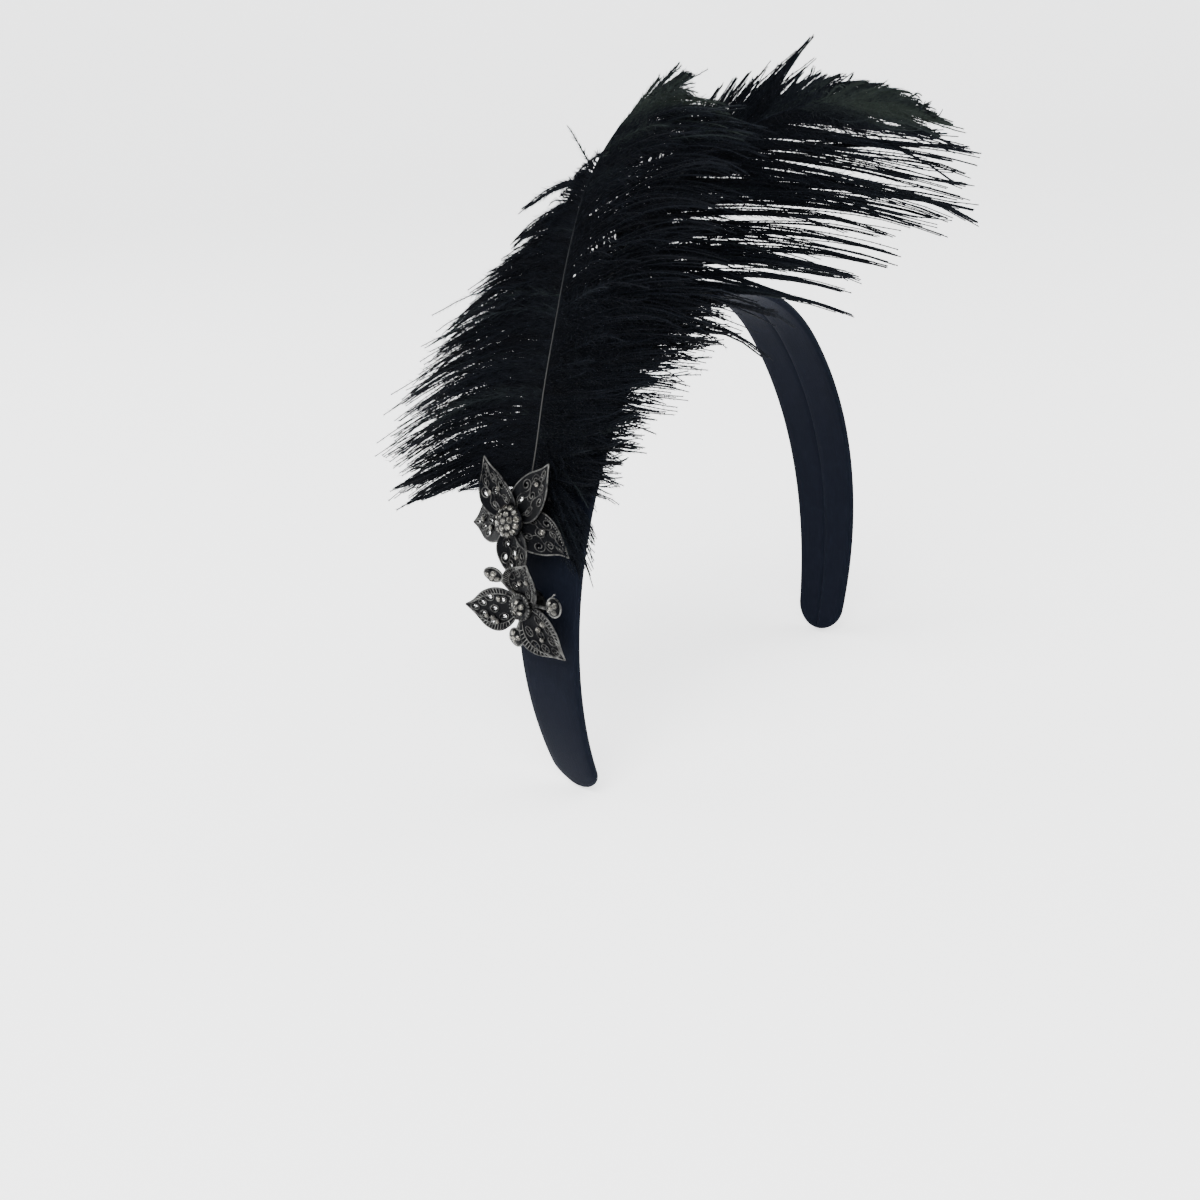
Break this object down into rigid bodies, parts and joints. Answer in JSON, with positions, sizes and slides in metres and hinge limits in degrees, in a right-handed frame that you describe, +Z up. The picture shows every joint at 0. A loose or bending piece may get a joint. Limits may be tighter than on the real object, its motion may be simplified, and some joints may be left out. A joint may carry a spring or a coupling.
{
  "type": "feather headband",
  "caption": "Arched satin hair band whose left leg carries filigree metal flowers with clusters of cut stones and tall drooping ostrich plumes, worn as a headpiece.",
  "frame": {"origin": "middle of the band's inner face at the crown, where the band sits on the head", "axes": "+Z up from the crown, +X to the wearer's left leg, which carries the trims, and -Y the way the wearer faces"},
  "size_m": [0.1656, 0.1604, 0.2182],
  "materials": {
    "band_satin": "dark navy-black satin with a soft sheen",
    "plume_black": "dyed black ostrich feather, fine and fluffy",
    "antique_metal": "antiqued gunmetal with bright worn edges",
    "smoky_stones": "foiled smoky grey cut glass"
  },
  "bodies": {
    "root": {"band": "band_satin", "plume_front": "plume_black", "plume_rear": "plume_black", "flower_upper": "antique_metal", "flower_upper_stones": "smoky_stones", "flower_lower": "antique_metal", "flower_lower_stones": "smoky_stones", "floret_1_stones": "smoky_stones", "floret_2_stones": "smoky_stones", "floret_3_stones": "smoky_stones"}
  },
  "joints": []
}
